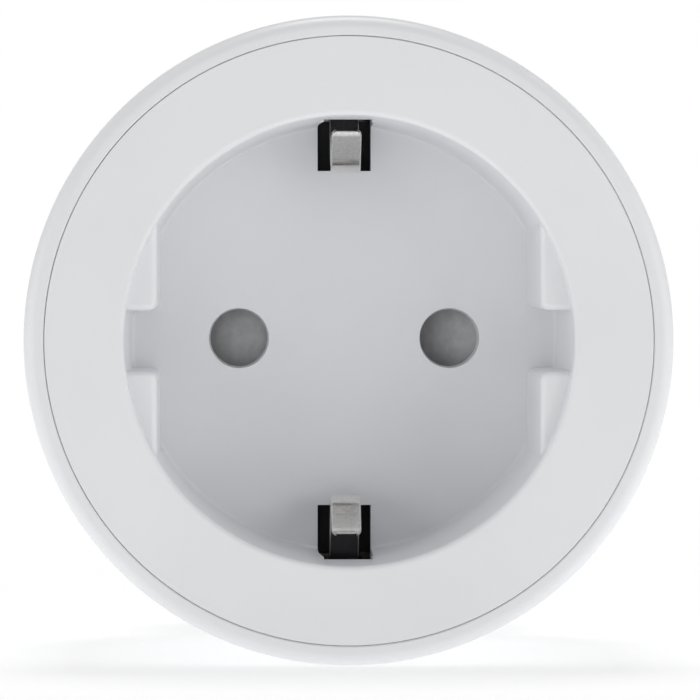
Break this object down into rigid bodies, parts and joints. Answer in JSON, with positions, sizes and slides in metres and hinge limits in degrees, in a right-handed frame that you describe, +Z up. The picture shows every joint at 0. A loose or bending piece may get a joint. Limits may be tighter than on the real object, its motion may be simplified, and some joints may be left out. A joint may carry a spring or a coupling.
{
  "type": "plug in power meter",
  "caption": "Round mains adapter that meters and switches its load: side-earthed socket well in front, shuttered pin holes, plug boss with pins behind, side button.",
  "frame": {"origin": "centre of the plug's end face, where it meets the floor of the wall socket", "axes": "+Y along the pins into the wall, -Y out of the front face; +Z up; +X to the right seen from the front"},
  "size_m": [0.0568, 0.0825, 0.0568],
  "materials": {
    "white_plastic": "fine satin",
    "grey_plastic": "satin",
    "black_plastic": "matt",
    "clear_plastic": "translucent",
    "nickel_plate": "bright nickel plate",
    "contact_bronze": "rolled",
    "plated_steel": "zinc plate",
    "circuit_board": "solder mask",
    "component_yellow": "moulded case",
    "component_blue": "dipped lacquer",
    "component_green": "lacquer",
    "wire_brown": "insulation",
    "wire_blue": "insulation",
    "wire_green": "insulation"
  },
  "bodies": {
    "meter_body": {"housing_shell": "white_plastic", "front_cover": "white_plastic", "plug_base": "white_plastic", "line_pin": "nickel_plate", "neutral_pin": "nickel_plate", "earth_strip_upper": "nickel_plate", "earth_strip_lower": "nickel_plate", "earth_socket": "contact_bronze", "shutter_spring": "plated_steel", "contact_carrier": "black_plastic", "line_contact": "contact_bronze", "neutral_contact": "contact_bronze", "earth_bracket": "nickel_plate", "main_board": "circuit_board", "relay": "black_plastic", "bulk_capacitor": "black_plastic", "film_capacitor": "component_yellow", "inductor": "black_plastic", "varistor": "component_blue", "fuse_resistor": "component_green", "bridge_diode": "black_plastic", "metering_chip": "black_plastic", "shunt_strap": "contact_bronze", "line_wire": "wire_brown", "neutral_wire": "wire_blue", "earth_wire": "wire_green", "control_board": "circuit_board", "tact_switch": "black_plastic", "status_led": "clear_plastic", "light_pipe": "clear_plastic", "wifi_board": "circuit_board", "shield_can": "plated_steel", "carrier_screw_1": "plated_steel", "carrier_screw_2": "plated_steel", "carrier_screw_3": "plated_steel", "carrier_screw_4": "plated_steel", "board_screw_1": "plated_steel", "board_screw_2": "plated_steel", "board_screw_3": "plated_steel", "board_screw_4": "plated_steel"},
    "shutter": {"shutter_slider": "grey_plastic"},
    "clip_upper": {"earth_clip_upper": "nickel_plate"},
    "clip_lower": {"earth_clip_lower": "nickel_plate"},
    "button": {"power_button": "white_plastic"},
    "switch_plunger": {"tact_plunger": "black_plastic"}
  },
  "joints": [
    {"name": "shutter_slide", "type": "slide", "parent": "meter_body", "child": "shutter", "axis": [1, 0, 0], "range_m": [0, 0.006], "stiffness_N_per_m": 60, "springref_m": -0.004, "deforming": ["shutter_spring"]},
    {"name": "upper_clip_flex", "type": "hinge", "parent": "meter_body", "child": "clip_upper", "pos_m": [0, -0.038, 0.02065], "axis": [-1, 0, 0], "range_deg": [0, 8], "stiffness_Nm_per_rad": 0.3},
    {"name": "lower_clip_flex", "type": "hinge", "parent": "meter_body", "child": "clip_lower", "pos_m": [0, -0.038, -0.02065], "axis": [1, 0, 0], "range_deg": [0, 12], "stiffness_Nm_per_rad": 0.3},
    {"name": "button_press", "type": "slide", "parent": "meter_body", "child": "button", "axis": [-1, 0, 0], "range_m": [0, 0.0003], "stiffness_N_per_m": 600, "springref_m": -0.001},
    {"name": "switch_press", "type": "slide", "parent": "meter_body", "child": "switch_plunger", "axis": [-1, 0, 0], "range_m": [0, 0.0003]}
  ],
  "couplings": [
    {"joint": "switch_press", "follows": "button_press", "ratio": 1}
  ]
}
